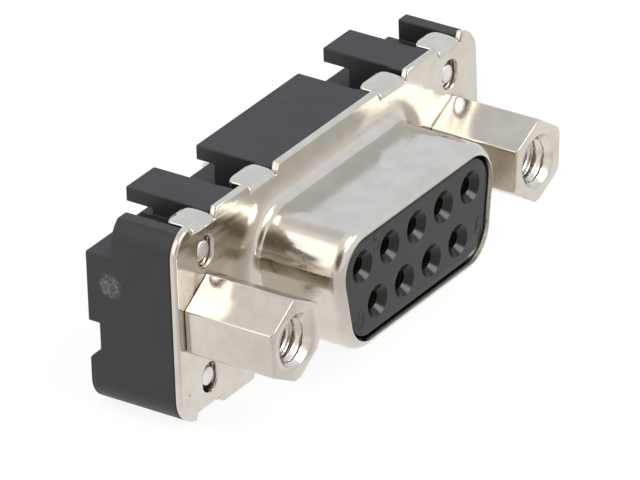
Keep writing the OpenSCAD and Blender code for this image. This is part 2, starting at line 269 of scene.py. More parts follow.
def piece(name, form, material, nodes, smooth=38, within=None):
    """Makes a form into a piece that stands for these nodes of the frame.

    within is (material, test): faces whose middle passes the test take that
    material.
    """
    mesh = bpy.data.meshes.new(name)
    mesh.from_pydata(form.points, [], form.faces)
    work = bmesh.new()
    work.from_mesh(mesh)
    bmesh.ops.remove_doubles(work, verts=work.verts, dist=2e-7)
    bmesh.ops.recalc_face_normals(work, faces=work.faces)
    if within:
        for face in work.faces:
            if within[1](face.calc_center_median()):
                face.material_index = 1
    thing = dress(name, mesh, work, material, nodes, smooth)
    if within:
        thing.data.materials.append(within[0])
    return thing


def dress(name, mesh, work, material, nodes, smooth):
    """Writes the mesh, gives the piece its finish, hangs it under the root body and hides the nodes
    it stands for.
    """
    loose = [v for v in work.verts if not v.link_faces]
    bmesh.ops.delete(work, geom=loose, context="VERTS")
    work.to_mesh(mesh)
    work.free()
    mesh.shade_smooth()
    mesh.set_sharp_from_angle(angle=math.radians(smooth))
    mesh.materials.append(material)
    thing = bpy.data.objects.new(name, mesh)
    bpy.context.scene.collection.objects.link(thing)
    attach(thing, "root")
    if nodes:
        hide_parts(*nodes)
    return thing


def even_normals(thing):
    """Keeps flat faces flat beside their rounded edges."""
    modifier = thing.modifiers.new("Even normals", "WEIGHTED_NORMAL")
    modifier.keep_sharp = True
    modifier.weight = 80


def lathe(profile, segments):
    """Turns a profile of (radius, place along Y) about the Y axis."""
    form = Form()
    turns = [2 * math.pi * i / segments for i in range(segments)]
    rings = [
        form.ring((r * math.cos(t), y, r * math.sin(t)) for t in turns) for r, y in profile
    ]
    form.sweep(rings)
    return form


def round_steps(radius, steps=4):
    """A quarter round from the inset edge of a face to its side: (inset, depth)."""
    turns = [math.pi / 2 * i / steps for i in range(steps + 1)]
    return [(radius * (1 - math.sin(t)), radius * (1 - math.cos(t))) for t in turns]


def inset(loop, amounts):
    """Moves each corner of a closed outline to its left by its own amount."""
    moved = []
    count = len(loop)
    for i, (x, z) in enumerate(loop):
        before = Vector(loop[i - 1])
        here = Vector((x, z))
        after = Vector(loop[(i + 1) % count])
        one = (here - before).normalized()
        two = (after - here).normalized()
        left = Vector((-one.y - two.y, one.x + two.x))
        spread = 1 + one.dot(two)
        moved.append(here + left * (amounts[i] / max(spread, 0.3)))
    return moved


def circle(centre, radius, segments, clockwise=False):
    """A round outline in the X-Z plane."""
    turns = [2 * math.pi * i / segments for i in range(segments)]
    if clockwise:
        turns.reverse()
    return [
        (centre[0] + radius * math.cos(t), centre[1] + radius * math.sin(t)) for t in turns
    ]


# ------------------------------------------------------------------ the D


def d_outline(distance, steps=22):
    """The D at a distance from its corner centres, anticlockwise from the front."""
    shell = settings().shell
    level = shell.shroud_height / 2 - shell.shroud_corner
    wide = shell.shroud_width / 2 - shell.shroud_corner
    narrow = wide - 2 * level * math.tan(shell.side_slope)
    slope = shell.side_slope
    quarter = math.pi / 2
    corners = [
        ((wide, level), -slope, quarter),
        ((-wide, level), quarter, 2 * quarter + slope),
        ((-narrow, -level), 2 * quarter + slope, 3 * quarter),
        ((narrow, -level), 3 * quarter, 4 * quarter - slope),
    ]
    points = []
    for (x, z), start, end in corners:
        for i in range(steps + 1):
            t = start + (end - start) * i / steps
            points.append((x + distance * math.cos(t), z + distance * math.sin(t)))
    return points


def d_ring(form, distance, y):
    return form.ring((x, y, z) for x, z in d_outline(distance))


# ------------------------------------------------------------------ front sheet


def tab_places():
    """Middle and width of the two tabs on the right of the flange's upper edge."""
    return ((6.65 * MM, 2.5 * MM), (12.575 * MM, 2.05 * MM))


def flange_quarter(shell):
    """The flange's outline from its right side up and in to the middle.

    Each point is (x, z, whether it stands on a tab's bend line).
    """
    half_w = shell.flange_width / 2
    half_h = shell.flange_height / 2
    r = shell.flange_corner
    bend = half_h - shell.tab_start
    floor = half_h - shell.relief_depth
    middle = (half_w - r, half_h - r)
    outer_x, outer_w = tab_places()[1]
    last = math.acos((outer_x + outer_w / 2 + shell.tab_relief - middle[0]) / r)
    quarter = []
    for i in range(13):
        t = last * i / 12
        quarter.append((middle[0] + r * math.cos(t), middle[1] + r * math.sin(t), False))
    for x, w in reversed(tab_places()):
        right, left = x + w / 2, x - w / 2
        relief, foot = shell.tab_relief, shell.relief_foot
        if (right + relief) < middle[0]:
            quarter.append((right + relief, half_h, False))
        quarter += [
            (right + foot, floor, False),
            (right, floor - foot, False),
            (right, bend, True),
            (left, bend, True),
            (left, floor - foot, False),
            (left - foot, floor, False),
            (left - relief, half_h, False),
        ]
    return quarter


def flange_outline(shell):
    """The whole outline, anticlockwise from the front."""
    quarter = flange_quarter(shell)
    upper_left = [(-x, z, bend) for x, z, bend in reversed(quarter)]
    lower_left = [(-x, -z, bend) for x, z, bend in quarter]
    lower_right = [(x, -z, bend) for x, z, bend in reversed(quarter)]
    return quarter + upper_left + lower_left + lower_right


def slot_outline(centre, width, height, segments=14):
    """An upright slot with round ends, clockwise from the front."""
    r = width / 2
    end = height / 2 - r
    points = []
    for middle, start in ((end, math.pi), (-end, 0)):
        for i in range(segments + 1):
            t = start - math.pi * i / segments
            points.append((centre[0] + r * math.cos(t), centre[1] + middle + r * math.sin(t)))
    return points


def flange_form(shell, standoff_x, rivet_z):
    """The flat plate, with every edge rounded that isn't joined to more sheet."""
    form = Form()
    outline = flange_outline(shell)
    loops = [([(x, z) for x, z, _ in outline], [bend for *_, bend in outline])]
    for side in (-1, 1):
        hole = circle((side * standoff_x, 0), shell.stud_hole, 48, clockwise=True)
        loops.append((hole, [False] * len(hole)))
        for level in (-1, 1):
            slot = slot_outline(
                (side * standoff_x, level * rivet_z),
                shell.rivet_slot_width,
                shell.rivet_slot_height,
            )
            loops.append((slot, [False] * len(slot)))
    faces = {"front": [], "back": []}
    for loop, joined in loops:
        count = len(loop)
        open_steps = [i for i in range(count) if joined[i] and joined[(i + 1) % count]]
        rings = []
        stations = [(i, d, True) for i, d in round_steps(shell.edge_roll)]
        stations += [(i, d, False) for i, d in reversed(round_steps(shell.burr_side, 2))]
        for amount, depth, is_front in stations:
            inner = inset(loop, [0 if j else amount for j in joined])
            rings.append(
                form.ring(
                    (
                        p.x,
                        (0 if j else depth) if is_front else shell.sheet - (0 if j else depth),
                        p.y,
                    )
                    for p, j in zip(inner, joined)
                )
            )
        for first, second in zip(rings, rings[1:]):
            form.bridge(first, second, open_steps)
        faces["front"].append(rings[0])
        faces["back"].append(rings[-1])
    foot = shell.shroud_corner + root_line(shell)[0][0]
    faces["front"].append(d_ring(form, foot, 0))
    faces["back"].append(d_ring(form, foot, shell.sheet))
    form.fill(faces["front"])
    form.fill(faces["back"])
    return form


def root_line(shell):
    """The front of the sheet from the flange to the shroud's wall.

    Each step is (distance from the wall, place along Y, slope).
    """
    rise, slow, tight = shell.root_rise, shell.root_sweep, shell.root_radius
    start = slow * math.sin(rise) + tight * (1 - math.sin(rise))
    line = []
    for i in range(8):
        t = rise * i / 8
        line.append((start - slow * math.sin(t), -slow * (1 - math.cos(t)), t))
    for i in range(13):
        t = rise + (math.radians(90) - rise) * i / 12
        line.append(
            (
                tight * (1 - math.sin(t)),
                -slow * (1 - math.cos(rise)) - tight * (math.cos(rise) - math.cos(t)),
                t,
            )
        )
    return line


def shroud_form(shell):
    """The D drawn out of the flange, with its rolled lip."""
    form = Form()
    wall = shell.shroud_corner
    lip = shell.shroud_corner - shell.lip_radius
    lip_y = shell.shroud_depth - shell.lip_radius
    inner_lip = shell.lip_radius - shell.sheet
    line = root_line(shell)
    section = [(wall + distance, y) for distance, y, slope in line]
    for i in range(13):
        t = shell.lip_turn * i / 12
        section.append(
            (lip + shell.lip_radius * math.cos(t), -lip_y - shell.lip_radius * math.sin(t))
        )
    for i in range(9):
        t = shell.lip_turn * (1 - i / 8)
        section.append((lip + inner_lip * math.cos(t), -lip_y - inner_lip * math.sin(t)))
    for distance, y, slope in reversed(line):
        back = (shell.sheet * math.sin(slope), shell.sheet * math.cos(slope))
        section.append((wall + distance - back[0], y + back[1]))
    form.sweep([d_ring(form, distance, y) for distance, y in section])
    return form


def tab_line(shell, reach):
    """A tab's outer line from the flange back: (place, direction outwards), both (y, z)."""
    start = shell.flange_height / 2 - shell.tab_start
    change = math.radians(TAB_CHANGE)
    bend, crown = shell.tab_bend, shell.tab_crown
    middle = (bend, start)
    line = []
    for i in range(9):
        t = change * i / 8
        out = (-math.cos(t), math.sin(t))
        line.append(((middle[0] + bend * out[0], middle[1] + bend * out[1]), out))
    middle = (
        middle[0] + (crown - bend) * math.cos(change),
        middle[1] - (crown - bend) * math.sin(change),
    )
    last = math.acos((middle[0] - reach) / crown)
    for i in range(1, 17):
        t = change + (last - change) * i / 16
        out = (-math.cos(t), math.sin(t))
        line.append(((middle[0] + crown * out[0], middle[1] + crown * out[1]), out))
    return line


def tab_form(shell, x, width, reach):
    """One upper tab on the right, folded back over the housing."""
    form = Form()
    line = tab_line(shell, reach)
    round_end = shell.tab_corner
    rings = []
    for i, ((y, z), (back, up)) in enumerate(line):
        grown = min(1, i / 6)
        left_over = reach - y
        narrow = 0
        if left_over < round_end:
            narrow = round_end - math.sqrt(round_end**2 - (round_end - left_over) ** 2)
        w = width / 2 - narrow
        roll = shell.edge_roll * grown
        burr = shell.burr_side * grown
        front = [(w - i, d) for i, d in round_steps(roll)]
        rear = [(w - i, shell.sheet - d) for i, d in reversed(round_steps(burr, 2))]
        half = front + rear
        section = half + [(-across, depth) for across, depth in reversed(half)]
        rings.append(
            form.ring((x + across, y - back * depth, z - up * depth) for across, depth in section)
        )
    form.sweep(rings)
    form.cap(rings[-1])
    return form


class CONNECTOR_OT_shell(Operator):
    """Draw the flange, the shroud and the folded tabs as one piece of sheet"""

    bl_idname = "connector.shell"
    bl_label = "Front sheet"

    def execute(self, context):
        shell = settings().shell
        standoff_x = middle_of("standoff_right").x
        form = flange_form(shell, standoff_x, middle_of("rivet_2").z)
        form.add(shroud_form(shell))
        for (x, width), reach in zip(tab_places(), (shell.tab_reach, shell.outer_reach)):
            tab = tab_form(shell, x, width, reach)
            for side in (-1, 1):
                for level in (-1, 1):
                    form.add(tab, Matrix.Diagonal((side, 1, level, 1)))
        thing = piece("front_shell_sheet", form, nickel_sheet(), ["front_shell"])
        even_normals(thing)
        return {"FINISHED"}


def middle_of(node):
    """The middle of a node's box."""
    low, high = (Vector(corner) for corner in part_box(node))
    return (low + high) / 2


# ------------------------------------------------------------------ insulator


# Faint raised numerals beside some entries: the line of each, in heights, and its middle.
NUMERALS = (
    (
        ((0.27, 0.5), (-0.2, 0.5), (-0.23, 0.08), (0.02, 0.13), (0.23, 0.0),
         (0.27, -0.22), (0.14, -0.44), (-0.1, -0.5), (-0.27, -0.4)),
        -4.05, 2.36,
    ),
    (
        ((-0.22, -0.46), (0.02, -0.5), (0.21, -0.3), (0.27, 0.1), (0.17, 0.42), (-0.02, 0.5),
         (-0.2, 0.4), (-0.26, 0.18), (-0.15, -0.01), (0.03, -0.06), (0.19, 0.08)),
        -5.83, -1.83,
    ),
    (
        ((0.22, 0.46), (-0.02, 0.5), (-0.21, 0.3), (-0.27, -0.1), (-0.17, -0.42), (0.02, -0.5),
         (0.2, -0.4), (0.26, -0.18), (0.15, 0.01), (-0.03, 0.06), (-0.19, -0.08)),
        6.32, -1.45,
    ),
)


def numeral_form(line, middle, height, face_y):
    """A plain numeral: one rounded bar that follows a line on the face."""
    form = Form()
    points = [Vector((middle[0] + x * height, 0, middle[1] + z * height)) for x, z in line]
    half, proud, sunk = 0.07 * MM, 0.028 * MM, 0.01 * MM
    section = [(-half, sunk), (-half, 0), (-half / 2, -proud)]
    section += [(-across, depth) for across, depth in reversed(section)]
    rings = []
    for i, point in enumerate(points):
        before = points[max(i - 1, 0)]
        after = points[min(i + 1, len(points) - 1)]
        along = (after - before).normalized()
        side = Vector((along.z, 0, -along.x))
        face = point + Vector((0, face_y, 0))
        rings.append(form.ring(face + side * a + Vector((0, d, 0)) for a, d in section))
    form.sweep(rings)
    form.cap(rings[0])
    form.cap(rings[-1])
    return form


class CONNECTOR_OT_insulator(Operator):
    """Mould the dark insulator, with its nine pin entries"""

    bl_idname = "connector.insulator"
    bl_label = "Front insulator"

    def execute(self, context):
        mould = settings().mouldings
        shell = settings().shell
        low, high = (Vector(corner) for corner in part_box("front_insulator"))
        face_y, spigot_y = low.y, high.y
        lip_y = shell.lip_radius - shell.shroud_depth
        form = Form()
        rings = [
            d_ring(form, mould.nose - i, face_y + d) for i, d in round_steps(mould.nose_edge)
        ]
        rings += [
            d_ring(form, mould.nose, lip_y),
            d_ring(form, mould.body, lip_y),
            d_ring(form, mould.body, shell.sheet),
            d_ring(form, mould.spigot, shell.sheet),
            d_ring(form, mould.spigot, spigot_y),
        ]
        form.sweep(rings)
        fronts, backs = [rings[0]], [rings[-1]]
        for i in CONTACTS:
            place = middle_of(f"contact_{i}")
            stations = [
                (mould.entry_mouth, face_y),
                (mould.entry, face_y + mould.entry_chamfer),
                (mould.entry, face_y + 0.5 * MM),
                (mould.cavity, face_y + 0.5 * MM),
                (mould.cavity, spigot_y),
            ]
            bore = [
                form.ring((x, y, z) for x, z in circle((place.x, place.z), r, 56, True))
                for r, y in stations
            ]
            form.sweep(bore)
            fronts.append(bore[0])
            backs.append(bore[-1])
        form.fill(fronts)
        form.fill(backs)
        for line, x, z in NUMERALS:
            form.add(numeral_form(line, (x * MM, z * MM), 1.1 * MM, face_y))
        thing = piece(
            "front_insulator_moulding",
            form,
            insulator_plastic(),
            ["front_insulator"],
        )
        even_normals(thing)
        return {"FINISHED"}


class CONNECTOR_OT_contacts(Operator):
    """Plate the nine machined contacts"""

    bl_idname = "connector.contacts"
    bl_label = "Contacts"

    def execute(self, context):
        finish = contact_plating()
        for i in CONTACTS:
            coat(f"contact_{i}", finish)
        return {"FINISHED"}


def coat(node, material):
    """Puts a material on a node of the frame."""
    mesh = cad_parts[node].data
    if mesh.materials:
        for n in range(len(mesh.materials)):
            mesh.materials[n] = material
    else:
        mesh.materials.append(material)


# ------------------------------------------------------------------ housing


class CONNECTOR_OT_housing(Operator):
    """Mould the rear housing, with its edges rounded as a tool leaves them"""

    bl_idname = "connector.housing"
    bl_label = "Rear housing"

    def execute(self, context):
        mould = settings().mouldings
        mesh = bpy.data.meshes.new("rear_housing_moulding")
        work = bmesh.new()
        work.from_mesh(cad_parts["rear_housing"].data)
        bmesh.ops.remove_doubles(work, verts=work.verts, dist=1e-6)
        bmesh.ops.dissolve_limit(
            work, angle_limit=math.radians(0.5), verts=work.verts, edges=work.edges
        )
        thing = dress(
            "rear_housing_moulding",
            mesh,
            work,
            housing_plastic(),
            ["rear_housing"],
            38,
        )
        edge = thing.modifiers.new("Tool radius", "BEVEL")
        edge.width = mould.housing_edge
        edge.segments = 2
        edge.limit_method = "ANGLE"
        edge.angle_limit = math.radians(35)
        edge.use_clamp_overlap = False
        edge.miter_outer = "MITER_ARC"
        even_normals(thing)
        return {"FINISHED"}


# ------------------------------------------------------------------ hardware


def thread_radius(hardware, y, turn):
    """Distance from the axis to an inner thread's surface."""
    deep = hardware.thread_major - hardware.thread_minor
    along = 2 * math.pi * y / hardware.thread_pitch - turn
    return hardware.thread_minor + deep * (0.5 - 0.5 * math.cos(along))


def tapped_hole(form, hardware, y_mouth, y_end, mouth, segments=96):
    """The rings of a tapped hole, from its mouth inwards."""
    step = hardware.thread_pitch / 26
    count = max(4, round(abs(y_end - y_mouth) / step))
    way = (y_end - y_mouth) / count
    rings = []
    for i in range(count + 1):
        y = y_mouth + way * i
        cone = mouth - abs(way) * i
        points = []
        for k in range(segments):
            t = 2 * math.pi * k / segments
            r = max(cone, thread_radius(hardware, y, t))
            if i == 0:
                r = mouth
            points.append((r * math.cos(t), y, r * math.sin(t)))
        rings.append(form.ring(points))
    form.sweep(rings)
    return rings


def hexagon_turns(half_flat, corner):
    """Angles round a hexagon that catch its flats and its rounded corners."""
    centre = (half_flat - corner) / math.cos(math.radians(30))
    last = math.atan2(centre * 0.5, half_flat)
    turns = []
    for side in range(6):
        middle = math.radians(60 * side)
        turns += [middle + last * (i / 6 - 1) for i in range(13)]
        spare = math.radians(60) - 2 * last
        turns += [middle + last + spare * i / 5 for i in range(1, 5)]
    return turns, centre, last


def hexagon_radius(turn, half_flat, corner, centre, last):
    """Distance from the axis to a hexagon with rounded corners."""
    off = (turn + math.radians(30)) % math.radians(60) - math.radians(30)
    if abs(off) <= last + 1e-9:
        return half_flat / math.cos(off)
    beta = math.radians(30) - abs(off)
    return centre * math.cos(beta) + math.sqrt(corner**2 - (centre * math.sin(beta)) ** 2)


def standoff_form(hardware, turned):
    """A hexagonal standoff with its tapped hole and its stud."""
    form = Form()
    half_flat = hardware.across_flats / 2
    corner = hardware.hexagon_edge
    turns, centre, last = hexagon_turns(half_flat, corner)
    front_y = -hardware.hexagon_length
    reach = half_flat / math.cos(math.radians(30))
    rings = []
    stations = [(d, i) for i, d in round_steps(0.04 * MM, 2)]
    chamfer = hardware.hexagon_chamfer
    stations += [(chamfer * i / 4, 0) for i in range(2, 5)]
    base = -front_y
    stations += [(chamfer * 1.6, 0), (base - 0.1 * MM, 0), (base, 0.1 * MM)]
    for depth, shrink in stations:
        cone = reach - chamfer + depth
        points = []
        for t in turns:
            r = min(hexagon_radius(t, half_flat, corner, centre, last), cone) - shrink
            # A corner of the hexagon points up before it is turned.
            a = t + math.radians(120) + turned
            points.append((r * math.cos(a), front_y + depth, r * math.sin(a)))
        rings.append(form.ring(points))
    form.sweep(rings)
    hole = tapped_hole(
        form, hardware, front_y, front_y + hardware.tapped_depth, hardware.mouth
    )
    form.fill([rings[0], hole[0]])
    form.cap(hole[-1])
    stud = [
        form.ring((r * math.cos(t), y, r * math.sin(t)) for t in turns)
        for r, y in (
            (hardware.stud_radius, 0),
            (hardware.stud_radius, hardware.stud_length - 0.15 * MM),
            (hardware.stud_radius - 0.15 * MM, hardware.stud_length),
        )
    ]
    form.sweep([rings[-1]] + stud)
    form.cap(stud[-1])
    return form


def in_hole(hardware, x):
    """A test for the faces of a tapped hole about the line at x."""
    wall = (hardware.thread_major + hardware.mouth) / 2
    front = 0.002 * MM - hardware.hexagon_length

    def test(place):
        return math.hypot(place.x - x, place.z) < wall and place.y > front

    return test


def set_turned(node, form, finish, smooth, cut):
    """Puts a turned form at its node, with another finish on its thread."""
    x = middle_of(node).x
    moved = Form()
    moved.add(form, Matrix.Translation((x, 0, 0)))
    threaded = (cut, in_hole(settings().hardware, x))
    even_normals(piece(f"{node}_turned", moved, finish, [node], smooth, threaded))


class CONNECTOR_OT_standoffs(Operator):
    """Turn the two hexagonal standoffs that hold the plug's screws"""

    bl_idname = "connector.standoffs"
    bl_label = "Standoffs"

    def execute(self, context):
        hardware = settings().hardware
        finish, cut = nickel_turned(), nickel_thread()
        for name, turned in (("left", hardware.left_turn), ("right", hardware.right_turn)):
            node = f"standoff_{name}"
            set_turned(node, standoff_form(hardware, turned), finish, 50, cut)
        return {"FINISHED"}


class CONNECTOR_OT_inserts(Operator):
    """Turn the two brass inserts that take the board's screws"""

    bl_idname = "connector.inserts"
    bl_label = "Threaded inserts"

    def execute(self, context):
        hardware = settings().hardware
        finish, cut = insert_brass(), brass_thread()
        for name in SIDES:
            node = f"insert_{name}"
            low, high = (Vector(corner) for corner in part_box(node))
            r = hardware.insert_radius
            stud_end = hardware.stud_length + 0.05 * MM
            form = Form()
            turns = [2 * math.pi * i / 60 for i in range(60)]
            outer = [
                form.ring((a * math.cos(t), y, a * math.sin(t)) for t in turns)
                for a, y in (
                    (r - 0.12 * MM, high.y),
                    (r, high.y - 0.12 * MM),
                    (r, low.y),
                    (hardware.stud_radius + 0.05 * MM, low.y),
                    (hardware.stud_radius + 0.05 * MM, stud_end),
                )
            ]
            form.sweep(outer)
            hole = tapped_hole(
                form, hardware, high.y, stud_end, hardware.thread_major + 0.02 * MM
            )
            form.bridge(outer[0], hole[0])
            form.bridge(outer[-1], hole[-1])
            set_turned(node, form, finish, 32, cut)
        return {"FINISHED"}


class CONNECTOR_OT_rivets(Operator):
    """Set the four rivets that hold the ground plates"""

    bl_idname = "connector.rivets"
    bl_label = "Rivets"

    def execute(self, context):
        hardware = settings().hardware
        finish = rivet_steel()
        for i in RIVETS:
            node = f"rivet_{i}"
            low, high = (Vector(corner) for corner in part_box(node))
            head, shank = hardware.rivet_head, hardware.rivet_shank
            face = low.y
            profile = [(0, face), (head * 0.45, face + 0.006 * MM), (head * 0.72, face + 0.02 * MM)]
            profile += [
                (head - a, face + 0.035 * MM + d) for a, d in round_steps(0.1 * MM, 4)
            ]
            profile += [
                (head, settings().shell.sheet),
                (shank, settings().shell.sheet),
                (shank, high.y - 0.1 * MM),
                (shank - 0.1 * MM, high.y),
                (0, high.y),
            ]
            form = Form()
            place = middle_of(node)
            form.add(lathe(profile, 44), Matrix.Translation((place.x, 0, place.z)))
            piece(f"{node}_set", form, finish, [node])
        return {"FINISHED"}


class CONNECTOR_OT_ground_plates(Operator):
    """Finish the two ground plates behind the flange"""

    bl_idname = "connector.ground_plates"
    bl_label = "Ground plates"

    def execute(self, context):
        finish = nickel_plate()
        for name in SIDES:
            coat(f"ground_plate_{name}", finish)
        return {"FINISHED"}


# ------------------------------------------------------------------ finishes


class Nodes:
    """A short hand for writing the nodes of a material or of the world."""

    def __init__(self, tree, place):
        self.tree = tree
        self.place = self.tree.nodes.new("ShaderNodeTexCoord").outputs[place]

    def axes(self):
        """The X, Y and Z of the place in the piece."""
        split = self.node("ShaderNodeSeparateXYZ")
        self.link(self.place, split.inputs[0])
        return split.outputs

    def link(self, output, socket):
        self.tree.links.new(output, socket)

    def node(self, kind, **values):
        node = self.tree.nodes.new(kind)
        for key, value in values.items():
            setattr(node, key, value)
        return node

    def stretched(self, scale):
        """The place in the piece, scaled on each axis."""
        mapping = self.node("ShaderNodeMapping")
        mapping.inputs["Scale"].default_value = scale
        self.link(self.place, mapping.inputs["Vector"])
        return mapping.outputs["Vector"]

    def noise(self, scale, detail=3.0, rough=0.5, place=None):
        noise = self.node("ShaderNodeTexNoise")
        noise.inputs["Scale"].default_value = scale
        noise.inputs["Detail"].default_value = detail
        noise.inputs["Roughness"].default_value = rough
        self.link(place or self.place, noise.inputs["Vector"])
        return noise.outputs["Fac"]

    def spread(self, value, low, high, to_low, to_high, kind="LINEAR"):
        """Maps a range of a value to another."""
        spread = self.node("ShaderNodeMapRange", interpolation_type=kind)
        for name, number in (
            ("From Min", low),
            ("From Max", high),
            ("To Min", to_low),
            ("To Max", to_high),
        ):
            spread.inputs[name].default_value = number
        self.link(value, spread.inputs["Value"])
        return spread.outputs["Result"]

    def blend(self, factor, first, second):
        """A colour between two, each a plain colour or an output."""
        mix = self.node("ShaderNodeMix", data_type="RGBA")
        self.link(factor, mix.inputs["Factor"])
        for socket, value in ((mix.inputs["A"], first), (mix.inputs["B"], second)):
            if isinstance(value, bpy.types.NodeSocket):
                self.link(value, socket)
            else:
                socket.default_value = (*tuple(value), 1)
        return mix.outputs["Result"]

    def sum_of(self, operation, *values):
        """The result of one sum on outputs or plain numbers."""
        node = self.node("ShaderNodeMath", operation=operation)
        for socket, value in zip(node.inputs, values):
            if isinstance(value, bpy.types.NodeSocket):
                self.link(value, socket)
            else:
                socket.default_value = value
        return node.outputs[0]

    def along(self, way, low, high, to_low=0, to_high=1):
        """How far the place lies along a way, mapped smoothly to a range."""
        node = self.node("ShaderNodeVectorMath", operation="DOT_PRODUCT")
        node.inputs[1].default_value = way
        self.link(self.place, node.inputs[0])
        return self.spread(node.outputs["Value"], low, high, to_low, to_high, "SMOOTHSTEP")

    def choice(self, factor, first, second):
        """One shader or another."""
        mix = self.node("ShaderNodeMixShader")
        for output, socket in zip((factor, first, second), mix.inputs):
            self.link(output, socket)
        return mix.outputs[0]

    def near(self, spot, inner, outer):
        """One within a radius of a spot, falling to nothing at another."""
        node = self.node("ShaderNodeVectorMath", operation="DISTANCE")
        self.link(self.place, node.inputs[0])
        node.inputs[1].default_value = spot
        return self.spread(node.outputs["Value"], inner, outer, 1, 0)

    def bump(self, height, strength, depth, before=None):
        """Adds relief of a depth in metres."""
        bump = self.node("ShaderNodeBump")
        bump.inputs["Strength"].default_value = strength
        bump.inputs["Distance"].default_value = depth
        self.link(height, bump.inputs["Height"])
        if before:
            self.link(before, bump.inputs["Normal"])
        return bump.outputs["Normal"]


class Finish(Nodes):
    """The nodes of one material, about its principled shader."""

    def __init__(self, name):
        self.material = bpy.data.materials.new(name)
        self.material.use_nodes = True
        super().__init__(self.material.node_tree, "Object")
        self.surface = self.tree.nodes["Principled BSDF"]

    def done(self, base, roughness, normal):
        self.link(base, self.surface.inputs["Base Color"])
        self.link(roughness, self.surface.inputs["Roughness"])
        self.link(normal, self.surface.inputs["Normal"])
        return self.material


def shade(value, factor):
    return tuple(min(1, part * factor) for part in value)


def plated(name, value, rough, waves, wave_depth, grain, worn=None):
    """Plated metal: nearly mirror bright, with slow waves and fine handling marks."""
    nodes = Finish(name)
    nodes.surface.inputs["Metallic"].default_value = 1
    cloud = nodes.noise(700, 4, 0.55)
    base = nodes.blend(nodes.spread(cloud, 0.35, 0.65, 0, 1), shade(value, 0.94), shade(value, 1.04))
    if worn:
        base = worn(nodes, base)
    fine = nodes.noise(9000, 3, 0.6)
    roughness = nodes.spread(fine, 0.35, 0.7, rough * 0.75, rough * 1.45)
    marks = nodes.noise(1, 2, 0.5, nodes.stretched(grain))
    relief = nodes.bump(nodes.noise(waves, 2, 0.4), 1, wave_depth)
    relief = nodes.bump(marks, 1, 0.0012 * MM, relief)
    return nodes.done(base, roughness, relief)


def nickel_sheet():
    """Nickel over steel: pebbled on the flange, drawn lines on the shroud, ears a little bowed."""
    nodes = Finish("nickel_plated_sheet")
    value = settings().finishes.shell_nickel
    nodes.surface.inputs["Metallic"].default_value = 1
    cloud = nodes.noise(700, 4, 0.55)
    base = nodes.blend(nodes.spread(cloud, 0.35, 0.65, 0, 1), shade(value, 0.95), shade(value, 1.04))
    fine = nodes.noise(6500, 3, 0.6)
    axes = nodes.axes()
    drawn = nodes.spread(fine, 0.35, 0.7, 0.09, 0.19)
    pebbled = nodes.spread(fine, 0.35, 0.7, 0.13, 0.23)
    flange = nodes.spread(axes["Y"], -0.9 * MM, -0.1 * MM, 0, 1)
    roughness = nodes.blend(flange, drawn, pebbled)
    side = nodes.sum_of("ABSOLUTE", axes["X"])
    bow = nodes.spread(side, 12.6 * MM, 15.4 * MM, 0, 0.38 * MM)
    fleck = nodes.near((-14.6 * MM, 0, -4.24 * MM), 0.05 * MM, 0.09 * MM)
    base = nodes.blend(fleck, base, shade(value, 0.25))
    relief = nodes.bump(bow, 1, 1)
    relief = nodes.bump(nodes.noise(240, 2, 0.4), 1, 0.016 * MM, relief)
    lines = nodes.noise(1, 2, 0.6, nodes.stretched((9000, 1100, 9000)))
    relief = nodes.bump(lines, 1, 0.0042 * MM, relief)
    return nodes.done(base, roughness, relief)


def nickel_turned():
    """Bright nickel, worn to the brass on the right standoff's front corners."""
    hardware = settings().hardware

    def worn(nodes, base):
        axes = nodes.axes()
        side = nodes.sum_of("ABSOLUTE", axes["X"])
        off = nodes.sum_of("SUBTRACT", side, middle_of("standoff_right").x)
        radius = nodes.sum_of(
            "SQRT",
            nodes.sum_of(
                "ADD",
                nodes.sum_of("MULTIPLY", off, off),
                nodes.sum_of("MULTIPLY", axes["Z"], axes["Z"]),
            ),
        )
        rim = nodes.spread(radius, 2.36 * MM, 2.5 * MM, 0, 1)
        end = nodes.spread(
            axes["Y"],
            -hardware.hexagon_length + 0.04 * MM,
            -hardware.hexagon_length + 0.3 * MM,
            1,
            0,
        )
        patches = nodes.spread(nodes.noise(1300, 3, 0.6), 0.44, 0.56, 0, 0.9)
        mask = nodes.sum_of("MULTIPLY", nodes.sum_of("MULTIPLY", rim, end), patches)
        right = nodes.spread(axes["X"], -1 * MM, 1 * MM, 0, 1)
        mask = nodes.sum_of("MULTIPLY", mask, right)
        return nodes.blend(mask, base, (0.72, 0.5, 0.2))

    return plated(
        "nickel_plated_brass", tuple(settings().finishes.stud_nickel), 0.16, 330, 0.012 * MM,
        (26000, 1500, 26000), worn,
    )


def nickel_thread():
    return plated(
        "nickel_cut_thread", shade(settings().finishes.stud_nickel, 1.1), 0.22, 400, 0.002 * MM,
        (900, 9000, 900),
    )


def brass_thread():
    return plated(
        "brass_cut_thread", shade(settings().finishes.brass, 1.1), 0.32, 900, 0.004 * MM,
        (9000, 9000, 9000),
    )


def nickel_plate():
    return plated(
        "nickel_ground_plate", tuple(settings().finishes.shell_nickel), 0.2, 300, 0.012 * MM,
        (3000, 3000, 14000),
    )


def rivet_steel():
    return plated(
        "satin_rivet_steel", tuple(settings().finishes.rivet_steel), 0.4, 900, 0.01 * MM,
        (9000, 9000, 9000),
    )


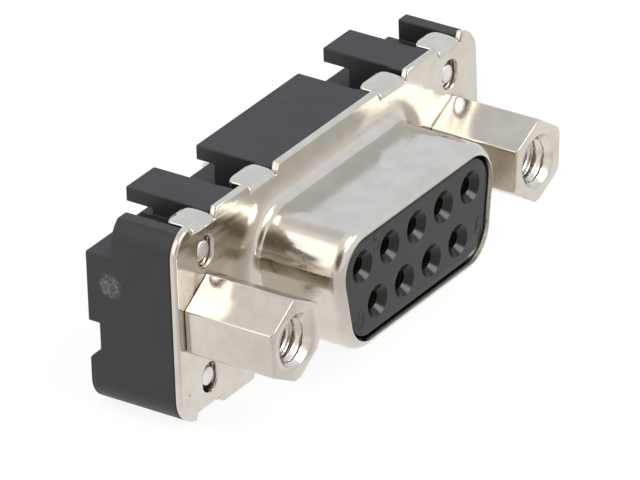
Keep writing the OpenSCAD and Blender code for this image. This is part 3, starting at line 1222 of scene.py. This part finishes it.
def contact_plating():
    """Gold flash where the pin goes in, tin on the tail."""
    finishes = settings().finishes
    nodes = Finish("contact_plating")
    nodes.surface.inputs["Metallic"].default_value = 1
    behind = nodes.spread(nodes.axes()["Y"], 1.5 * MM, 2.5 * MM, 0, 1)
    cloud = nodes.noise(1800, 3, 0.5)
    gold = nodes.blend(cloud, shade(finishes.contact_gold, 0.85), finishes.contact_gold)
    tin = nodes.blend(cloud, shade(finishes.contact_tin, 0.9), finishes.contact_tin)
    base = nodes.blend(behind, gold, tin)
    roughness = nodes.spread(nodes.noise(6000, 3, 0.6), 0.3, 0.7, 0.2, 0.34)
    turning = nodes.noise(1, 2, 0.5, nodes.stretched((1500, 22000, 1500)))
    return nodes.done(base, roughness, nodes.bump(turning, 1, 0.001 * MM))


def insert_brass():
    return plated(
        "turned_brass", tuple(settings().finishes.brass), 0.24, 800, 0.006 * MM,
        (16000, 3000, 16000),
    )


def moulded(name, value, rough, grain_depth, shine, marked=None):
    """Plastic with a fine spark-eroded grain and pale flecks of filler."""
    nodes = Finish(name)
    nodes.surface.inputs["Specular IOR Level"].default_value = shine
    cloud = nodes.noise(450, 4, 0.6)
    tone = nodes.blend(nodes.spread(cloud, 0.3, 0.7, 0, 1), shade(value, 0.88), shade(value, 1.13))
    fleck = nodes.noise(14000, 2, 0.7)
    base = nodes.blend(nodes.spread(fleck, 0.66, 0.8, 0, 0.35), tone, shade(value, 3.2))
    if marked:
        base = marked(nodes, base)
    grain = nodes.noise(7500, 4, 0.65)
    roughness = nodes.spread(grain, 0.3, 0.7, rough * 0.86, rough * 1.12)
    relief = nodes.bump(grain, 1, grain_depth)
    return nodes.done(base, roughness, relief)


def insulator_plastic():
    return moulded("insulator_plastic", tuple(settings().finishes.insulator), 0.2, 0.002 * MM, 0.4)


def housing_plastic():
    """Dark plastic, with the grainy scar of its gate on the left end and a few scuffs."""

    def marked(nodes, base):
        value = settings().finishes.housing
        low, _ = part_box("rear_housing")
        scar = nodes.near((low[0], 4.62 * MM, 1.85 * MM), 0.6 * MM, 0.82 * MM)
        grains = nodes.spread(nodes.noise(4200, 3, 0.7), 0.42, 0.62, 0.12, 0.75)
        base = nodes.blend(nodes.sum_of("MULTIPLY", scar, grains), base, (0.21, 0.21, 0.2))
        lower = nodes.spread(nodes.axes()["Z"], -2.2 * MM, -3.6 * MM, 0, 1)
        scuffs = nodes.spread(nodes.noise(1500, 2, 0.5), 0.71, 0.77, 0, 0.4)
        return nodes.blend(nodes.sum_of("MULTIPLY", lower, scuffs), base, shade(value, 8))

    return moulded(
        "housing_plastic", tuple(settings().finishes.housing), 0.5, 0.008 * MM, 0.5, marked
    )


# ------------------------------------------------------------------ stage


class CONNECTOR_OT_stage(Operator):
    """Lay the pale floor, and set the light and the camera"""

    bl_idname = "connector.stage"
    bl_label = "Stage"

    def execute(self, context):
        stage = settings().stage
        lay_floor(stage)
        light_world(stage)
        hang_lamps(stage)
        place_camera(stage)
        context.scene.view_settings.view_transform = "Standard"
        return {"FINISHED"}


def lay_floor(stage):
    low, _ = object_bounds()
    mesh = bpy.data.meshes.new("floor")
    ways = ((-1, -1), (1, -1), (1, 1), (-1, 1))
    corners = [(FLOOR_HALF * x, FLOOR_HALF * y, low[2]) for x, y in ways]
    mesh.from_pydata(corners, [], [(0, 1, 2, 3)])
    floor = bpy.data.objects.new("floor", mesh)
    bpy.context.scene.collection.objects.link(floor)
    nodes = Finish("pale_floor")
    nodes.surface.inputs["Base Color"].default_value = (*stage.floor, 1)
    nodes.surface.inputs["Roughness"].default_value = 0.9
    nodes.surface.inputs["Specular IOR Level"].default_value = 0
    # Shiny things see the floor white, with a painted shade that dims it towards the front left.
    shown = nodes.node("ShaderNodeEmission")
    painted_floor_shade = nodes.along((-0.55, -0.83, 0), 6 * MM, 20 * MM, 1, 0.75)
    nodes.link(painted_floor_shade, shown.inputs["Strength"])
    # The camera sees it near white, with a faint shadow on it.
    dim = nodes.node("ShaderNodeBsdfDiffuse")
    dim.inputs["Color"].default_value = (0.16, 0.16, 0.16, 1)
    glow = nodes.node("ShaderNodeEmission")
    glow.inputs["Strength"].default_value = 0.88
    both = nodes.node("ShaderNodeAddShader")
    nodes.link(dim.outputs[0], both.inputs[0])
    nodes.link(glow.outputs[0], both.inputs[1])
    rays = nodes.node("ShaderNodeLightPath").outputs
    shiny = nodes.choice(rays["Is Glossy Ray"], nodes.surface.outputs[0], shown.outputs[0])
    seen = nodes.choice(rays["Is Camera Ray"], shiny, both.outputs[0])
    nodes.link(seen, nodes.tree.nodes["Material Output"].inputs["Surface"])
    mesh.materials.append(nodes.material)
    floor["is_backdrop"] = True


def light_world(stage):
    """Even light from all round; shiny things see a room with a bright and a dark side."""
    world = bpy.data.worlds.new("studio")
    bpy.context.scene.world = world
    world.use_nodes = True
    world.node_tree.nodes.clear()
    nodes = Nodes(world.node_tree, "Generated")
    room = (1.0, 0.985, 0.96)
    # Each part of the room: the way to it, the degrees where it is full and gone, its colour.
    for way, inner, outer, value in (
        ((0.8, 0.0, 0.5), 30, 60, (0.86, 0.92, 1.0)),
        ((0.12, 0.5, 0.86), 4, 16, (0.74, 0.76, 0.78)),
        ((-0.66, 0.5, 0.56), 20, 31, (1.7, 1.69, 1.67)),
        ((-0.72, -0.505, 0.474), 7, 32, (0.18, 0.16, 0.12)),
    ):
        low, high = math.cos(math.radians(outer)), math.cos(math.radians(inner))
        room = nodes.blend(nodes.along(Vector(way).normalized(), low, high), room, value)

    def background(strength):
        made = nodes.node("ShaderNodeBackground")
        made.inputs["Color"].default_value = (1, 1, 1, 1)
        made.inputs["Strength"].default_value = strength
        return made

    seen, plain, white = background(1), background(stage.ambient), background(1)
    nodes.link(room, seen.inputs["Color"])
    rays = nodes.node("ShaderNodeLightPath").outputs
    glossy = nodes.sum_of("MAXIMUM", rays["Is Glossy Ray"], rays["Is Transmission Ray"])
    light = nodes.choice(glossy, plain.outputs[0], seen.outputs[0])
    shown = nodes.choice(rays["Is Camera Ray"], light, white.outputs[0])
    nodes.link(shown, nodes.node("ShaderNodeOutputWorld").inputs["Surface"])


def hang_lamps(stage):
    """Two soft boxes in front of the part: one high up, and a wide bright one lower."""
    for name, toward, wide, high, power in (
        ("high", (0.01, -0.47, 0.88), 0.34, 0.26, stage.high_lamp),
        ("low", (0.1, -0.73, 0.67), 0.6, 0.2, stage.low_lamp),
    ):
        way = Vector(toward).normalized()
        light = bpy.data.lights.new(name, "AREA")
        light.shape = "ELLIPSE"
        light.size = wide
        light.size_y = high
        light.energy = power
        lamp = bpy.data.objects.new(name, light)
        lamp.location = way * LAMP_DISTANCE
        lamp.rotation_euler = way.to_track_quat("Z", "Y").to_euler()
        bpy.context.scene.collection.objects.link(lamp)


def place_camera(stage):
    back = Vector(
        (
            math.sin(stage.azimuth) * math.cos(stage.elevation),
            -math.cos(stage.azimuth) * math.cos(stage.elevation),
            math.sin(stage.elevation),
        )
    )
    right = (-back).cross(Vector((0, 0, 1))).normalized()
    up = back.cross(right).normalized()
    turn = Matrix.Rotation(stage.roll, 3, back)
    right, up = turn @ right, turn @ up
    # The part's origin stands a little right of and above the middle of the view.
    across, above = 0.6915 * MM, 0.9277 * MM
    spot = back * stage.distance - right * across - up * above
    camera = bpy.data.objects.new("camera", bpy.data.cameras.new("camera"))
    camera.data.sensor_width = 36
    camera.data.lens = stage.lens
    camera.data.clip_start = 0.01
    camera.data.clip_end = 20
    camera.matrix_world = Matrix(
        (
            (right.x, up.x, back.x, spot.x),
            (right.y, up.y, back.y, spot.y),
            (right.z, up.z, back.z, spot.z),
            (0, 0, 0, 1),
        )
    )
    bpy.context.scene.collection.objects.link(camera)
    bpy.context.scene.camera = camera


# ------------------------------------------------------------------ add-on


class ConnectorSettings(PropertyGroup):
    """All settings of the connector."""

    shell: PointerProperty(type=SheetSizes)
    hardware: PointerProperty(type=HardwareSizes)
    mouldings: PointerProperty(type=MouldingSizes)
    finishes: PointerProperty(type=Finishes)
    stage: PointerProperty(type=StageSettings)


STEPS = (
    CONNECTOR_OT_shell,
    CONNECTOR_OT_insulator,
    CONNECTOR_OT_contacts,
    CONNECTOR_OT_housing,
    CONNECTOR_OT_standoffs,
    CONNECTOR_OT_inserts,
    CONNECTOR_OT_rivets,
    CONNECTOR_OT_ground_plates,
    CONNECTOR_OT_stage,
)


class CONNECTOR_PT_panel(Panel):
    """Lists the connector's pieces and its settings"""

    bl_idname = "CONNECTOR_PT_panel"
    bl_label = "D-Sub Connector"
    bl_space_type = "VIEW_3D"
    bl_region_type = "UI"
    bl_category = "Connector"

    def draw(self, context):
        for step in STEPS:
            self.layout.operator(step.bl_idname)
        for group in ("shell", "hardware", "mouldings", "finishes", "stage"):
            box = self.layout.box()
            values = getattr(context.scene.connector, group)
            for name in values.__annotations__:
                box.prop(values, name)


GROUPS = (SheetSizes, HardwareSizes, MouldingSizes, Finishes, StageSettings, ConnectorSettings)


def register():
    for kind in (*GROUPS, *STEPS, CONNECTOR_PT_panel):
        bpy.utils.register_class(kind)
    bpy.types.Scene.connector = PointerProperty(type=ConnectorSettings)


def unregister():
    del bpy.types.Scene.connector
    for kind in reversed((*GROUPS, *STEPS, CONNECTOR_PT_panel)):
        bpy.utils.unregister_class(kind)


def main():
    register()
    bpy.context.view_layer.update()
    for step in STEPS:
        group, name = step.bl_idname.split(".")
        getattr(getattr(bpy.ops, group), name)()


if __name__ == "__main__":
    main()
